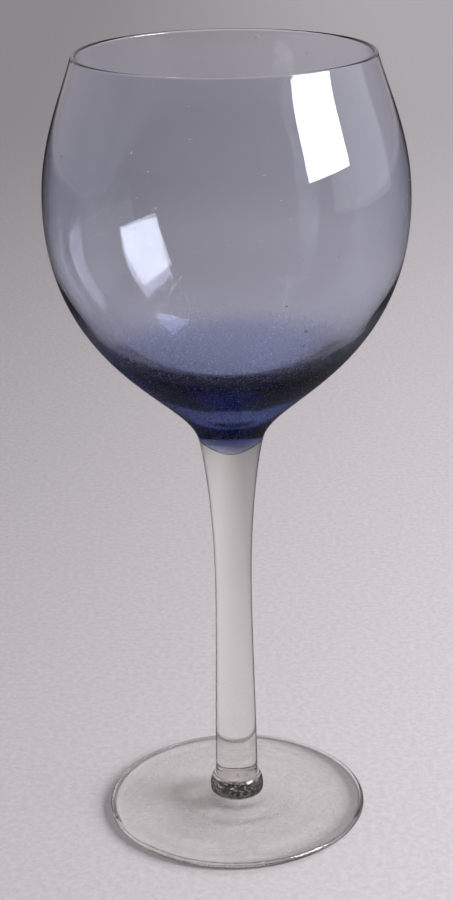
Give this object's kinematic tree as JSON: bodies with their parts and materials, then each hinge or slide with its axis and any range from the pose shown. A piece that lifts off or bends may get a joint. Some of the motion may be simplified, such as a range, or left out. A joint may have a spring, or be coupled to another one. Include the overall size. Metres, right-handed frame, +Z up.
{
  "type": "red wine glass",
  "caption": "Balloon red wine glass with a smoky blue blown bowl, thick bowl base, clear drawn stem with a trumpet top, bulged collar and clear disc foot.",
  "frame": {"origin": "on the glass's axis, on the surface that its foot stands on", "axes": "+Z up along the glass's axis towards the rim, X and Y alike because the glass is round"},
  "size_m": [0.097, 0.097, 0.22],
  "materials": {
    "clear_glass": "polished clear glass with a faint warm tint",
    "blue_glass": "polished smoky blue glass, dark navy where it is thick, with fine seeds and use scratches"
  },
  "bodies": {
    "root": {"foot": "clear_glass", "foot_collar": "clear_glass", "stem": "clear_glass", "bowl": "blue_glass"}
  },
  "joints": []
}
